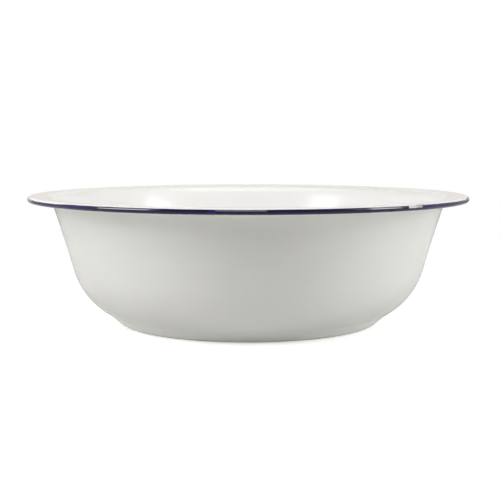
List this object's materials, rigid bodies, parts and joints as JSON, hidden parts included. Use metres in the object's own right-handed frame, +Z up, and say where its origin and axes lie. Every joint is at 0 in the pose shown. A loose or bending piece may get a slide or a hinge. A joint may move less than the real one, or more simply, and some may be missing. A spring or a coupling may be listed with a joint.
{
  "type": "enamel basin bowl",
  "caption": "Round enamelled steel basin bowl with a narrow flange, a curled bead rim with a blue band, and a low stepped foot.",
  "frame": {"origin": "centre of the resting ring, on the surface that the bowl stands on", "axes": "+Z up along the axis of the bowl, towards its mouth; +X and +Y are any two level directions, since the bowl is round"},
  "size_m": [0.3999, 0.4, 0.118],
  "materials": {
    "drawn_steel": "cold drawn low carbon steel sheet, pickled, wholly covered by enamel",
    "dark_ground_enamel": "dark vitreous ground coat, fused to the steel",
    "white_enamel_inside": "glossy white vitreous enamel",
    "white_enamel_outside": "glossy pale greyish white vitreous enamel, one thin coat over the dark ground",
    "blue_enamel": "glossy dark blue vitreous enamel, laid on by hand"
  },
  "bodies": {
    "root": {"steel_pressing": "drawn_steel", "ground_coat_inside": "dark_ground_enamel", "ground_coat_outside": "dark_ground_enamel", "white_coat_inside": "white_enamel_inside", "white_coat_outside": "white_enamel_outside", "blue_rim_band": "blue_enamel"}
  },
  "joints": []
}
